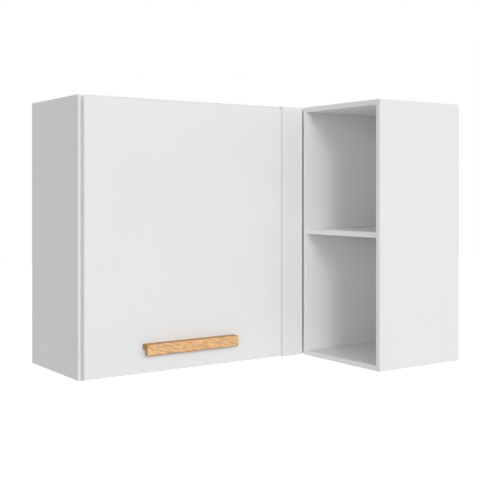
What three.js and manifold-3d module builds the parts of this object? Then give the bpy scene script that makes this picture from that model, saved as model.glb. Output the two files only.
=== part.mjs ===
// Corner wall cabinet. A cabinet with one hinged door hangs on the main wall, and an open
// shelf wing stands in front of its blind end and runs out along the side wall.
// Millimetres. X runs along the main wall, Y towards that wall and Z up. The pieces are
// placed from the lower front left corner of the main carcass, and the whole cabinet is
// then moved so that its origin lies on the wall face of the main hanging rail.
import * as THREE from 'three';
import { mergeVertices } from 'three/addons/utils/BufferGeometryUtils.js';
import Module from 'manifold-3d';

const wasm = await Module();
wasm.setup();

// Carcasses
const mainWidth = 1000;
const mainDepth = 300;
const cabinetHeight = 716;
const wingDepth = 300; // from the side wall to the wing's open front
const wingWidth = 320; // along the side wall
const boardThickness = 14;

// Back panels, let into grooves, and the rails behind them that hang the cabinet
const backThickness = 3;
const backGrooveDepth = 5;
const railThickness = 15;
const railHeight = 80;
const wallHoleRadius = 3;
const wallHoleInset = 90; // from the end of a rail

// Door, filler and the fixed front of the blind corner
const doorThickness = 15;
const doorGap = 3; // air behind the closed door
const doorLeftReveal = 8;
const doorTopReveal = 6;
const doorBottomReveal = 3;
const doorFillerGap = 4;
const doorOverlap = 15; // of the door's free edge over the blind front
const fillerWidth = 73;
const fillerThickness = 15;
const wingGap = 1; // from the filler's end to the plane of the wing's open front
const wingStandoff = 2; // from the plane of the door's face to the wing

// Shelves and what carries them
const shelfThickness = 14;
const mainShelfSetback = 30;
const shelfPlay = 0.6; // at each end of the loose shelf
const pegRadius = 2.5;
const pegDepth = 8;
const pegTabLength = 8;
const pegTabThickness = 4;
const pegInset = 40; // from the shelf's front and back edges
const pegPitch = 32; // from one peg hole up to the next
const pegSpareHoles = 2; // above the shelf, and as many below it
const dowelRadius = 4;
const dowelLength = 30;
const dowelDepth = 9; // the part of a dowel that sits in an upright board
const dowelInset = 60; // from the wing shelf's front and back edges

// Battens between the blind front and the wing
const battenWidth = 45;
const battenInset = 24; // from the wing's open front, and from the side wall

// Handle, an upside-down L that is gripped from below
const handleLength = 282;
const handleHeight = 29;
const handleReach = 26;
const handleFlange = 13;
const handleLip = 9;
const handleFillet = 6;
const handleRise = 48; // from the door's lower edge to the handle's lip
const handleOffset = 1.5; // from the door's middle, towards its hinges
const handleScrewInset = 60; // from each end of the handle
const handleScrewBite = 18;

// Hinges, with one pin each
const hingeInset = 100; // from the door's upper and lower edges
const pinRadius = 1;
const pinLength = 15;
const pinDepth = 9.5; // from the door's back face
const swingClearance = 0.4; // between the turning door and the carcass's front edges
const knuckleRadius = 1.9;
const cupRadius = 17.5;
const cupDepth = 12.5;
const cupPinOffset = 3.2; // from the rim of the cup to the pin
const flangeThickness = 1;
const flangeLength = 54;
const flangeWidth = 20;
const cupScrewSpacing = 44;
const armThickness = 1.6;
const armWidth = 7;
const armReach = 13.3; // from the pin to the arm's straight neck
const armNeck = 20; // how far the neck runs in past the pin
const armSlope = 14;
const armFoot = 38;
const plateThickness = 5;
const plateLength = 44;
const plateWidth = 10;
const plateEarLength = 48;
const plateEarWidth = 16;
const plateEarThickness = 2;
const plateScrewSpacing = 32;
const armScrewInset = 13; // from the plate's far end

// Screws and bumpers
const screwRadius = 2;
const screwHeadRadius = 4;
const screwHeadHeight = 2.2;
const smallScrewRadius = 1.5;
const smallHeadRadius = 2.8;
const smallHeadHeight = 1.6;
const smallScrewBite = 9;
const headCrownShare = 0.7; // flat crown of a pan head, as a share of its radius
const headRimShare = 0.45; // upright rim of a pan head, as a share of its height
const wingScrewBite = 10;
const wingScrewInset = 120; // from the top and bottom of the cabinet
const bumperRadius = 4;
const bumperInset = 40; // from the door's upper and lower edges

// Fits
const fitGap = 0.3; // round what sits in a hole, a groove or a pocket
const through = 1; // how far a cutting tool runs past the face that it opens

// Places worked out from the sizes above
const wingFrontX = mainWidth - wingDepth;
const fillerRightX = wingFrontX - wingGap;
const fillerLeftX = fillerRightX - fillerWidth;
const doorRightX = fillerLeftX - doorFillerGap;
const doorWidth = doorRightX - doorLeftReveal;
const doorHeight = cabinetHeight - doorTopReveal - doorBottomReveal;
const doorBackY = -doorGap;
const doorFaceY = doorBackY - doorThickness;
const blindLeftX = doorRightX - doorOverlap;
const innerTopZ = cabinetHeight - boardThickness;
const innerHeight = innerTopZ - boardThickness;
const innerRightX = mainWidth - boardThickness;
const innerWidth = innerRightX - boardThickness;
const mainBackY = mainDepth - railThickness - backThickness; // front face of the back panel
const shelfZ = (cabinetHeight - shelfThickness) / 2; // underside of both shelves
const wingFarY = doorFaceY - wingStandoff; // outer face of the board next to the main box
const wingEndY = wingFarY - wingWidth;
const wingInnerFarY = wingFarY - boardThickness;
const wingInnerEndY = wingEndY + boardThickness;
const wingInnerWidth = wingInnerFarY - wingInnerEndY;
const wingBackX = mainWidth - railThickness - backThickness; // front face of its back panel

// The pin lies so far in from the door's edge that the back corner of that edge turns past
// the carcass with the swing clearance to spare.
const swingRadius = pinDepth + doorGap - swingClearance;
const pinInset = Math.sqrt(swingRadius ** 2 - pinDepth ** 2);
const pinX = doorLeftReveal + pinInset;
const pinY = doorBackY - pinDepth;
const hingeHeights = {
  lower: doorBottomReveal + hingeInset,
  upper: doorBottomReveal + doorHeight - hingeInset,
};

const roundSegments = 20;
const smallSegments = 12;

const board = { color: 0xe9eaec, roughness: 0.45, metalness: 0 };
const rawBoard = { color: 0xd9c6a5, roughness: 0.85, metalness: 0 };
const oak = { color: 0xdcb088, roughness: 0.6, metalness: 0 };
const steel = { color: 0xb9bcc0, roughness: 0.32, metalness: 0.9 };
const beech = { color: 0xd8b98c, roughness: 0.8, metalness: 0 };
const rubber = { color: 0xdadbdb, roughness: 0.7, metalness: 0 };

function solidFrom(geometry) {
  const bare = geometry.clone();
  bare.deleteAttribute('normal');
  bare.deleteAttribute('uv');
  const merged = mergeVertices(bare, 1e-4);
  const vertProperties = new Float32Array(merged.attributes.position.array);
  const triVerts = new Uint32Array(merged.index.array);
  return new wasm.Manifold(new wasm.Mesh({ numProp: 3, vertProperties, triVerts }));
}

function geometryFrom(solid) {
  const { vertProperties, triVerts } = solid.getMesh();
  const geometry = new THREE.BufferGeometry();
  geometry.setAttribute('position', new THREE.BufferAttribute(vertProperties, 3));
  geometry.setIndex(new THREE.BufferAttribute(triVerts, 1));
  geometry.computeVertexNormals();
  return geometry;
}

function cut(geometry, tools) {
  let solid = solidFrom(geometry);
  for (const tool of tools) {
    solid = solid.subtract(solidFrom(tool));
  }
  return geometryFrom(solid);
}

function join(geometries) {
  let solid = solidFrom(geometries[0]);
  for (const geometry of geometries.slice(1)) {
    solid = solid.add(solidFrom(geometry));
  }
  return geometryFrom(solid);
}

// A block between two values on each axis.
function block([x0, x1], [y0, y1], [z0, z1]) {
  const geometry = new THREE.BoxGeometry(x1 - x0, y1 - y0, z1 - z0);
  return geometry.translate((x0 + x1) / 2, (y0 + y1) / 2, (z0 + z1) / 2);
}

// A round bar between two values on one axis, centred at the given place on the others.
function bar(axis, radius, [start, end], centre, segments = smallSegments) {
  const geometry = new THREE.CylinderGeometry(radius, radius, end - start, segments);
  const middle = (start + end) / 2;
  if (axis === 'x') {
    return geometry.rotateZ(Math.PI / 2).translate(middle, centre[0], centre[1]);
  }
  if (axis === 'y') {
    return geometry.translate(centre[0], middle, centre[1]);
  }
  return geometry.rotateX(Math.PI / 2).translate(centre[0], centre[1], middle);
}

function piece(name, geometry, look) {
  const mesh = new THREE.Mesh(geometry, new THREE.MeshStandardMaterial(look));
  mesh.name = name;
  return mesh;
}

// A board that is given by its low corner and its size, cut by tools in the board's own frame.
function boardPiece(name, corner, size, tools = [], look = board) {
  const whole = block([0, size[0]], [0, size[1]], [0, size[2]]);
  const mesh = piece(name, tools.length > 0 ? cut(whole, tools) : whole, look);
  mesh.position.set(...corner);
  return mesh;
}

// A pan-head screw along Y. Its head stands on the plane y = 0 and its shank runs to -Y.
function screwGeometry(radius, headRadius, headHeight, bite) {
  const crown = headRadius * headCrownShare;
  const rim = headHeight * headRimShare;
  const profile = [
    new THREE.Vector2(0, -bite),
    new THREE.Vector2(radius, -bite + radius),
    new THREE.Vector2(radius, 0),
    new THREE.Vector2(headRadius, 0),
    new THREE.Vector2(headRadius, rim),
    new THREE.Vector2(crown, headHeight),
    new THREE.Vector2(0, headHeight),
  ];
  return new THREE.LatheGeometry(profile, smallSegments);
}

// Main carcass

// The groove that takes an edge of the main back panel.
const mainGrooveY = [mainBackY - fitGap, mainBackY + backThickness + fitGap];

// Two columns of peg holes, so that the shelf can be moved up or down.
function pegHoles(sideFaceX, outward) {
  const reach = [sideFaceX - pegDepth - fitGap, sideFaceX + through];
  const span = outward > 0 ? reach.map((x) => 2 * sideFaceX - x).reverse() : reach;
  const holes = [];
  for (const y of pegPlaces()) {
    for (let step = -pegSpareHoles; step <= pegSpareHoles; step += 1) {
      holes.push(bar('x', pegRadius + fitGap, span, [y, pegZ() + step * pegPitch]));
    }
  }
  return holes;
}

function pegPlaces() {
  return [mainShelfSetback + pegInset, mainBackY - pegInset];
}

// The top of a peg's pin is level with its tab, which carries the shelf.
function pegZ() {
  return shelfZ - pegRadius;
}

function mainLeftSide() {
  const groove = block(
    [boardThickness - backGrooveDepth, boardThickness + through],
    mainGrooveY,
    [-through, cabinetHeight + through],
  );
  const size = [boardThickness, mainDepth, cabinetHeight];
  const plateHoles = Object.values(hingeHeights).flatMap((z) => plateScrewHoles(z));
  return boardPiece('main_left_side', [0, 0, 0], size, [
    groove,
    ...pegHoles(boardThickness, -1),
    ...plateHoles,
  ]);
}

function plateScrewHoles(hingeZ) {
  const end = boardThickness - smallScrewBite + plateEarThickness - fitGap;
  return [-1, 1].map((side) => {
    const z = hingeZ + (side * plateScrewSpacing) / 2;
    const span = [end, boardThickness + through];
    return bar('x', smallScrewRadius + fitGap, span, [plateScrewY(), z]);
  });
}

function mainRightSide() {
  const groove = block([-through, backGrooveDepth], mainGrooveY, [-through, cabinetHeight + through]);
  const size = [boardThickness, mainDepth, cabinetHeight];
  return boardPiece('main_right_side', [innerRightX, 0, 0], size, [groove, ...pegHoles(0, 1)]);
}

function mainTop() {
  const groove = block([-through, innerWidth + through], mainGrooveY, [-through, backGrooveDepth]);
  const size = [innerWidth, mainDepth, boardThickness];
  return boardPiece('main_top', [boardThickness, 0, innerTopZ], size, [groove]);
}

function mainBottom() {
  const groove = block(
    [-through, innerWidth + through],
    mainGrooveY,
    [boardThickness - backGrooveDepth, boardThickness + through],
  );
  const size = [innerWidth, mainDepth, boardThickness];
  return boardPiece('main_bottom', [boardThickness, 0, 0], size, [groove]);
}

const backTongue = backGrooveDepth - fitGap; // how far a back panel enters its grooves
const wallHoleZ = innerTopZ - railHeight / 2;

function mainBack() {
  const width = innerWidth + 2 * backTongue;
  const height = innerHeight + 2 * backTongue;
  const corner = [boardThickness - backTongue, mainBackY, boardThickness - backTongue];
  const holes = [wallHoleInset, innerWidth - wallHoleInset].map((x) => {
    const centre = [x + backTongue, wallHoleZ - corner[2]];
    return bar('y', wallHoleRadius, [-through, backThickness + through], centre);
  });
  return boardPiece('main_back', corner, [width, backThickness, height], holes);
}

function mainRail(name, z, holePlaces) {
  const centreZ = railHeight / 2;
  const holes = holePlaces.map((x) => {
    return bar('y', wallHoleRadius, [-through, railThickness + through], [x, centreZ]);
  });
  const corner = [boardThickness, mainDepth - railThickness, z];
  return boardPiece(name, corner, [innerWidth, railThickness, railHeight], holes, rawBoard);
}

function mainShelf() {
  const width = innerWidth - 2 * shelfPlay;
  const depth = mainBackY - fitGap - mainShelfSetback;
  const corner = [boardThickness + shelfPlay, mainShelfSetback, shelfZ];
  return boardPiece('main_shelf', corner, [width, depth, shelfThickness]);
}

// A peg with a round pin in the side board and a flat tab under the shelf.
function shelfPeg(name, sideFaceX, direction, y) {
  const pin = bar('x', pegRadius, [-pegDepth, pegTabLength / 2], [0, 0]);
  const tab = block(
    [fitGap, pegTabLength],
    [-pegTabLength / 2, pegTabLength / 2],
    [pegRadius - pegTabThickness, pegRadius],
  );
  const mesh = piece(name, join([pin, tab]), steel);
  mesh.position.set(sideFaceX, y, pegZ());
  mesh.rotation.z = direction > 0 ? 0 : Math.PI;
  return mesh;
}

function shelfPegs() {
  const [frontY, backY] = pegPlaces();
  return [
    shelfPeg('shelf_peg_left_front', boardThickness, 1, frontY),
    shelfPeg('shelf_peg_left_back', boardThickness, 1, backY),
    shelfPeg('shelf_peg_right_front', innerRightX, -1, frontY),
    shelfPeg('shelf_peg_right_back', innerRightX, -1, backY),
  ];
}

// Blind corner

const fillerScrewX = (fillerLeftX + fillerRightX) / 2;
const wingScrewZ = [wingScrewInset, cabinetHeight - wingScrewInset];
const battenCentres = [
  wingFrontX + battenInset + battenWidth / 2,
  innerRightX - battenInset - battenWidth / 2,
];
const wingScrewPlaces = battenCentres.flatMap((x) => wingScrewZ.map((z) => [x, z]));
const fillerScrewPlaces = wingScrewZ.map((z) => [fillerScrewX, z]);

function blindFront() {
  const corner = [blindLeftX, 0, boardThickness];
  const size = [innerRightX - blindLeftX, boardThickness, innerHeight];
  const holes = [...wingScrewPlaces, ...fillerScrewPlaces].map(([x, z]) => {
    const centre = [x - corner[0], z - corner[2]];
    return bar('y', screwRadius + fitGap, [-through, boardThickness + through], centre);
  });
  return boardPiece('blind_front', corner, size, holes);
}

function fillerStrip() {
  const holes = fillerScrewPlaces.map(([x, z]) => {
    const span = [fillerThickness - wingScrewBite - fitGap, fillerThickness + through];
    return bar('y', screwRadius + fitGap, span, [x - fillerLeftX, z]);
  });
  const size = [fillerWidth, fillerThickness, cabinetHeight];
  return boardPiece('filler_strip', [fillerLeftX, -fillerThickness, 0], size, holes);
}

function wingBatten(name, centreX) {
  const thickness = -wingFarY;
  const holes = wingScrewZ.map((z) => {
    return bar('y', screwRadius + fitGap, [-through, thickness + through], [battenWidth / 2, z]);
  });
  const corner = [centreX - battenWidth / 2, wingFarY, 0];
  return boardPiece(name, corner, [battenWidth, thickness, cabinetHeight], holes, rawBoard);
}

function panelScrew(name, [x, z], bite) {
  const mesh = piece(name, screwGeometry(screwRadius, screwHeadRadius, screwHeadHeight, bite), steel);
  mesh.position.set(x, boardThickness, z);
  return mesh;
}

function blindCorner() {
  const group = new THREE.Group();
  const wingBite = boardThickness - wingFarY + wingScrewBite;
  const fillerBite = boardThickness + wingScrewBite;
  group.add(blindFront(), fillerStrip());
  group.add(wingBatten('wing_batten_front', battenCentres[0]));
  group.add(wingBatten('wing_batten_back', battenCentres[1]));
  wingScrewPlaces.forEach((place, i) => group.add(panelScrew(`wing_screw_${i + 1}`, place, wingBite)));
  fillerScrewPlaces.forEach((place, i) => {
    group.add(panelScrew(`filler_screw_${i + 1}`, place, fillerBite));
  });
  return group;
}

// Open shelf wing

const wingGrooveX = [wingBackX - fitGap - wingFrontX, wingBackX + backThickness + fitGap - wingFrontX];
const dowelPlaces = [wingFrontX + dowelInset, wingBackX - dowelInset];
const dowelZ = shelfZ + shelfThickness / 2;

function dowelHoles(span) {
  return dowelPlaces.map((x) => {
    return bar('y', dowelRadius + fitGap, span, [x - wingFrontX, dowelZ]);
  });
}

function wingFarSide() {
  const groove = block(wingGrooveX, [-through, backGrooveDepth], [-through, cabinetHeight + through]);
  const screwHoles = wingScrewPlaces.map(([x, z]) => {
    const span = [boardThickness - wingScrewBite - fitGap, boardThickness + through];
    return bar('y', screwRadius + fitGap, span, [x - wingFrontX, z]);
  });
  const tools = [groove, ...screwHoles, ...dowelHoles([-through, dowelDepth + fitGap])];
  const size = [wingDepth, boardThickness, cabinetHeight];
  return boardPiece('wing_far_side', [wingFrontX, wingInnerFarY, 0], size, tools);
}

function wingEndPanel() {
  const groove = block(
    wingGrooveX,
    [boardThickness - backGrooveDepth, boardThickness + through],
    [-through, cabinetHeight + through],
  );
  const holes = dowelHoles([boardThickness - dowelDepth - fitGap, boardThickness + through]);
  const size = [wingDepth, boardThickness, cabinetHeight];
  return boardPiece('wing_end_panel', [wingFrontX, wingEndY, 0], size, [groove, ...holes]);
}

function wingTop() {
  const groove = block(wingGrooveX, [-through, wingInnerWidth + through], [-through, backGrooveDepth]);
  const size = [wingDepth, wingInnerWidth, boardThickness];
  return boardPiece('wing_top', [wingFrontX, wingInnerEndY, innerTopZ], size, [groove]);
}

function wingBottom() {
  const groove = block(
    wingGrooveX,
    [-through, wingInnerWidth + through],
    [boardThickness - backGrooveDepth, boardThickness + through],
  );
  const size = [wingDepth, wingInnerWidth, boardThickness];
  return boardPiece('wing_bottom', [wingFrontX, wingInnerEndY, 0], size, [groove]);
}

function wingShelf() {
  const entry = dowelLength - dowelDepth + fitGap;
  const holes = dowelPlaces.flatMap((x) => {
    const centre = [x - wingFrontX, shelfThickness / 2];
    return [
      bar('y', dowelRadius + fitGap, [-through, entry], centre),
      bar('y', dowelRadius + fitGap, [wingInnerWidth - entry, wingInnerWidth + through], centre),
    ];
  });
  const size = [wingBackX - fitGap - wingFrontX, wingInnerWidth, shelfThickness];
  return boardPiece('wing_shelf', [wingFrontX, wingInnerEndY, shelfZ], size, holes);
}

function wingDowels() {
  const farY = wingInnerFarY + dowelDepth - dowelLength;
  const endY = wingInnerEndY - dowelDepth;
  return dowelPlaces.flatMap((x, i) => {
    return [farY, endY].map((y, j) => {
      const peg = bar('y', dowelRadius, [0, dowelLength], [0, 0]);
      const mesh = piece(`wing_dowel_${2 * i + j + 1}`, peg, beech);
      mesh.position.set(x, y, dowelZ);
      return mesh;
    });
  });
}

function wingBack() {
  const width = wingInnerWidth + 2 * backTongue;
  const height = innerHeight + 2 * backTongue;
  const corner = [wingBackX, wingInnerEndY - backTongue, boardThickness - backTongue];
  const centre = [width / 2, wallHoleZ - corner[2]];
  const hole = bar('x', wallHoleRadius, [-through, backThickness + through], centre);
  return boardPiece('wing_back', corner, [backThickness, width, height], [hole]);
}

function wingRail(name, z, holePlaces) {
  const holes = holePlaces.map((y) => {
    return bar('x', wallHoleRadius, [-through, railThickness + through], [y, railHeight / 2]);
  });
  const corner = [mainWidth - railThickness, wingInnerEndY, z];
  return boardPiece(name, corner, [railThickness, wingInnerWidth, railHeight], holes, rawBoard);
}

function openWing() {
  const group = new THREE.Group();
  group.add(wingFarSide(), wingEndPanel(), wingTop(), wingBottom(), wingShelf(), wingBack());
  group.add(wingRail('wing_top_rail', innerTopZ - railHeight, [wingInnerWidth / 2]));
  group.add(wingRail('wing_bottom_rail', boardThickness, []));
  group.add(...wingDowels());
  return group;
}

// Door. Its pieces are placed from the door's lower left corner on its face.

const cupCentreX = pinInset + cupRadius - cupPinOffset;
const handleLeft = (doorWidth - handleLength) / 2 - handleOffset;
const handleScrewPlaces = [
  handleLeft + handleScrewInset,
  handleLeft + handleLength - handleScrewInset,
];
const handleTop = handleRise + handleHeight;
const handleScrewZ = handleTop - handleFlange / 2;

function doorPanel() {
  const cupBores = [hingeInset, doorHeight - hingeInset].flatMap((z) => [
    bar(
      'y',
      cupRadius + fitGap,
      [doorThickness - cupDepth - fitGap, doorThickness + through],
      [cupCentreX, z],
      roundSegments,
    ),
    ...cupScrewHoles(z),
  ]);
  const handleHoles = handleScrewPlaces.map((x) => {
    return bar('y', screwRadius + fitGap, [-through, doorThickness + through], [x, handleScrewZ]);
  });
  const size = [doorWidth, doorThickness, doorHeight];
  return boardPiece('door_panel', [0, 0, 0], size, [...cupBores, ...handleHoles]);
}

function cupScrewHoles(hingeZ) {
  const start = doorThickness - smallScrewBite + flangeThickness - fitGap;
  return [-1, 1].map((side) => {
    const centre = [cupCentreX, hingeZ + (side * cupScrewSpacing) / 2];
    return bar('y', smallScrewRadius + fitGap, [start, doorThickness + through], centre);
  });
}

// The handle's section lies in its own x (out from the door) and y (up), then runs along X.
function doorHandle() {
  const section = new THREE.Shape();
  const inner = handleReach - handleLip;
  const soffit = handleHeight - handleFlange;
  section.moveTo(0, handleHeight);
  section.lineTo(0, soffit);
  section.lineTo(inner - handleFillet, soffit);
  section.absarc(inner - handleFillet, soffit - handleFillet, handleFillet, Math.PI / 2, 0, true);
  section.lineTo(inner, 0);
  section.lineTo(handleReach, 0);
  section.lineTo(handleReach, handleHeight);
  section.closePath();
  const run = new THREE.ExtrudeGeometry(section, {
    depth: handleLength,
    bevelEnabled: false,
    curveSegments: 6,
  });
  // Section x turns to -Y and section y to Z, and the run then goes to -X.
  run.rotateX(Math.PI / 2).rotateZ(-Math.PI / 2).translate(handleLength, 0, 0);
  const holes = [handleScrewInset, handleLength - handleScrewInset].map((x) => {
    const span = [-handleScrewBite - fitGap, through];
    return bar('y', screwRadius + fitGap, span, [x, handleHeight - handleFlange / 2]);
  });
  const mesh = piece('door_handle', cut(run, holes), oak);
  mesh.position.set(handleLeft, 0, handleRise);
  return mesh;
}

function handleScrews() {
  return handleScrewPlaces.map((x, i) => {
    const bite = doorThickness + handleScrewBite;
    const shape = screwGeometry(screwRadius, screwHeadRadius, screwHeadHeight, bite);
    const mesh = piece(`handle_screw_${['left', 'right'][i]}`, shape, steel);
    mesh.position.set(x, doorThickness, handleScrewZ);
    return mesh;
  });
}

function doorBumpers() {
  const places = { lower: bumperInset, upper: doorHeight - bumperInset };
  return Object.entries(places).map(([place, z]) => {
    const pad = bar('y', bumperRadius, [0, doorGap - fitGap], [0, 0], roundSegments);
    const mesh = piece(`door_bumper_${place}`, pad, rubber);
    mesh.position.set(doorWidth - doorOverlap / 2, doorThickness, z);
    return mesh;
  });
}

function door() {
  const group = new THREE.Group();
  group.position.set(doorLeftReveal, doorFaceY, doorBottomReveal);
  group.add(doorPanel(), doorHandle(), ...handleScrews(), ...doorBumpers());
  return group;
}

// Hinges. The pieces of each are placed from the middle of its pin.

const pocketHalf = armWidth / 2 + fitGap;
const pocketReach = armReach + armThickness;
const sideFace = boardThickness - pinX; // inner face of the left side board
const cupOffset = cupRadius - cupPinOffset;
const plateStart = armNeck + armSlope - pinDepth / 2;

function plateScrewY() {
  return pinY + plateStart + plateLength / 2;
}

// The cup is a plug in the door's bore, with a pocket for the arm and a flange with two ears.
function hingeCup(name) {
  const bottom = pinDepth - cupDepth;
  const top = pinDepth + flangeThickness;
  const plug = bar('y', cupRadius, [bottom, top], [cupOffset, 0], roundSegments);
  const flange = block(
    [cupOffset - flangeWidth / 2, cupOffset + flangeWidth / 2],
    [pinDepth, top],
    [-flangeLength / 2, flangeLength / 2],
  );
  const pocket = block(
    [-knuckleRadius - fitGap, pocketReach + knuckleRadius],
    [-knuckleRadius - fitGap, top + through],
    [-pocketHalf, pocketHalf],
  );
  const pinHole = bar('z', pinRadius + fitGap, [-cupRadius, cupRadius], [0, 0]);
  const screwHoles = [-1, 1].map((side) => {
    const centre = [cupOffset, (side * cupScrewSpacing) / 2];
    return bar('y', smallScrewRadius + fitGap, [pinDepth - through, top + through], centre);
  });
  return piece(name, cut(join([plug, flange]), [pocket, pinHole, ...screwHoles]), steel);
}

// A bent strip of constant thickness through the given points, as an outline with mitred bends.
function stripShape(points, thickness) {
  const left = [];
  const right = [];
  points.forEach((point, i) => {
    const before = i > 0 ? point.clone().sub(points[i - 1]).normalize() : null;
    const after = i < points.length - 1 ? points[i + 1].clone().sub(point).normalize() : null;
    const along = (before ?? after).clone().add(after ?? before).normalize();
    const across = new THREE.Vector2(-along.y, along.x);
    const edge = before ?? after;
    const reach = thickness / 2 / across.dot(new THREE.Vector2(-edge.y, edge.x));
    left.push(point.clone().addScaledVector(across, reach));
    right.unshift(point.clone().addScaledVector(across, -reach));
  });
  return new THREE.Shape([...left, ...right]);
}

const armFootX = sideFace + plateThickness + armThickness / 2;
const armScrewBite = plateThickness - through;
const armScrewY = plateStart + plateLength - armScrewInset;

function hingeArm(name) {
  const path = [
    new THREE.Vector2(0, 0),
    new THREE.Vector2(armReach, 0),
    new THREE.Vector2(armReach, armNeck),
    new THREE.Vector2(armFootX, armNeck + armSlope),
    new THREE.Vector2(armFootX, armNeck + armSlope + armFoot),
  ];
  const strip = new THREE.ExtrudeGeometry(stripShape(path, armThickness), {
    depth: armWidth,
    bevelEnabled: false,
  });
  strip.translate(0, 0, -armWidth / 2);
  const knuckle = bar('z', knuckleRadius, [-armWidth / 2, armWidth / 2], [0, 0]);
  const pinHole = bar('z', pinRadius + fitGap, [-armWidth, armWidth], [0, 0]);
  const footSpan = [armFootX - armThickness, armFootX + armThickness];
  const screwHole = bar('x', smallScrewRadius + fitGap, footSpan, [armScrewY, 0]);
  return piece(name, cut(join([strip, knuckle]), [pinHole, screwHole]), steel);
}

function hingePlate(name) {
  const back = sideFace;
  const spine = block(
    [back, back + plateThickness],
    [plateStart, plateStart + plateLength],
    [-plateWidth / 2, plateWidth / 2],
  );
  const middleY = plateStart + plateLength / 2;
  const ears = block(
    [back, back + plateEarThickness],
    [middleY - plateEarWidth / 2, middleY + plateEarWidth / 2],
    [-plateEarLength / 2, plateEarLength / 2],
  );
  const earHoles = [-1, 1].map((side) => {
    const span = [back - through, back + plateEarThickness + through];
    return bar('x', smallScrewRadius + fitGap, span, [middleY, (side * plateScrewSpacing) / 2]);
  });
  const armSpan = [back + plateThickness - armScrewBite - fitGap, back + plateThickness + through];
  const armHole = bar('x', smallScrewRadius + fitGap, armSpan, [armScrewY, 0]);
  return piece(name, cut(join([spine, ears]), [...earHoles, armHole]), steel);
}

// A small screw whose head faces +X, on the plane x = seatX.
function sideScrew(name, seatX, y, z, bite) {
  const shape = screwGeometry(smallScrewRadius, smallHeadRadius, smallHeadHeight, bite);
  const mesh = piece(name, shape, steel);
  mesh.rotation.z = -Math.PI / 2;
  mesh.position.set(seatX, y, z);
  return mesh;
}

function cupScrew(name, z) {
  const shape = screwGeometry(smallScrewRadius, smallHeadRadius, smallHeadHeight, smallScrewBite);
  const mesh = piece(name, shape, steel);
  mesh.position.set(cupOffset, pinDepth + flangeThickness, z);
  return mesh;
}

function hinge(place) {
  const group = new THREE.Group();
  const prefix = `hinge_${place}`;
  const plateMiddleY = plateStart + plateLength / 2;
  const pin = bar('z', pinRadius, [-pinLength / 2, pinLength / 2], [0, 0]);
  group.position.set(pinX, pinY, hingeHeights[place]);
  group.add(hingeCup(`${prefix}_cup`), hingeArm(`${prefix}_arm`), hingePlate(`${prefix}_plate`));
  group.add(piece(`${prefix}_pin`, pin, steel));
  [-1, 1].forEach((side) => {
    const end = side < 0 ? 'low' : 'high';
    const earZ = (side * plateScrewSpacing) / 2;
    const earSeat = sideFace + plateEarThickness;
    group.add(cupScrew(`${prefix}_cup_screw_${end}`, (side * cupScrewSpacing) / 2));
    group.add(sideScrew(`${prefix}_plate_screw_${end}`, earSeat, plateMiddleY, earZ, smallScrewBite));
  });
  const armSeat = sideFace + plateThickness + armThickness;
  const armBite = armThickness + armScrewBite;
  group.add(sideScrew(`${prefix}_arm_screw`, armSeat, armScrewY, 0, armBite));
  return group;
}

function mainCarcass() {
  const group = new THREE.Group();
  group.add(mainLeftSide(), mainRightSide(), mainTop(), mainBottom(), mainBack(), mainShelf());
  const wallHoles = [wallHoleInset, innerWidth - wallHoleInset];
  group.add(mainRail('main_top_rail', innerTopZ - railHeight, wallHoles));
  group.add(mainRail('main_bottom_rail', boardThickness, []));
  group.add(...shelfPegs());
  return group;
}

const cabinet = new THREE.Group();
cabinet.position.set(-mainWidth / 2, -mainDepth, -wallHoleZ);
cabinet.add(mainCarcass(), blindCorner(), openWing(), door());
cabinet.add(hinge('lower'), hinge('upper'));

export default cabinet;
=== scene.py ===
import math
import bpy
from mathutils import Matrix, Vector


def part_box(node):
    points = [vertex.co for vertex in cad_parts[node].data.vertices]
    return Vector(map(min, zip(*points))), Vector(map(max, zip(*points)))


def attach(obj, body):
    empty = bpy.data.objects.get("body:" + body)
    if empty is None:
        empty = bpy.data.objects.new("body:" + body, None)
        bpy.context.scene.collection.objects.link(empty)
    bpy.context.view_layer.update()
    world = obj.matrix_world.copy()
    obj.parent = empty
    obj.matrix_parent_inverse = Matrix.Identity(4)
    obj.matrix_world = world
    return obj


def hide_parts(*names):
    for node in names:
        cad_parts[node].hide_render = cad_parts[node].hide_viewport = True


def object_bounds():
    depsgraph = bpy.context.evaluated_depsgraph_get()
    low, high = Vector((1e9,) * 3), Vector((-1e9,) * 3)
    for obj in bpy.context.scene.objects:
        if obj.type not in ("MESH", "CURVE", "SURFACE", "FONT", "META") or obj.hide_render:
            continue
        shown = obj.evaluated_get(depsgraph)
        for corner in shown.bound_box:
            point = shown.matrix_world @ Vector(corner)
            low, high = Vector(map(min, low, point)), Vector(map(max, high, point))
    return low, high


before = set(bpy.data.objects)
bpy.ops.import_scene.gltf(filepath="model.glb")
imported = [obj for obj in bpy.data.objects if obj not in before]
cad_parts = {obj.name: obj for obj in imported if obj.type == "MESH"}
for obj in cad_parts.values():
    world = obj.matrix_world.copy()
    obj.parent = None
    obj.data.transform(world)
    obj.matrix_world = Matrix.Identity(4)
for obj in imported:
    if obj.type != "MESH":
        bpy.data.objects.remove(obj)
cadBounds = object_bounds()
mm = 0.001
past = 1 * mm          # how far a cutter runs out past the face it cuts
near = 0.01 * mm       # points closer than this are the same point
edgeAngle = math.radians(50)     # sharper edges are softened or stay crisp, the rest shade over
axes = {"x": Vector((1, 0, 0)), "y": Vector((0, 1, 0)), "z": Vector((0, 0, 1))}
axisTurns = {"x": (0, math.pi / 2, 0), "y": (-math.pi / 2, 0, 0), "z": (0, 0, 0)}     # from standing on Z

# camera

cameraSettings = {
    "place": (-1.4816, -2.4394, -0.1882),
    "turn": -34.52,        # degrees about Z, away from looking straight at the main wall
    "lens": 69.78,
    "shiftY": -0.1016,     # the horizon lies a tenth of the frame above its middle
    "clipEnd": 60,
}


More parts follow.
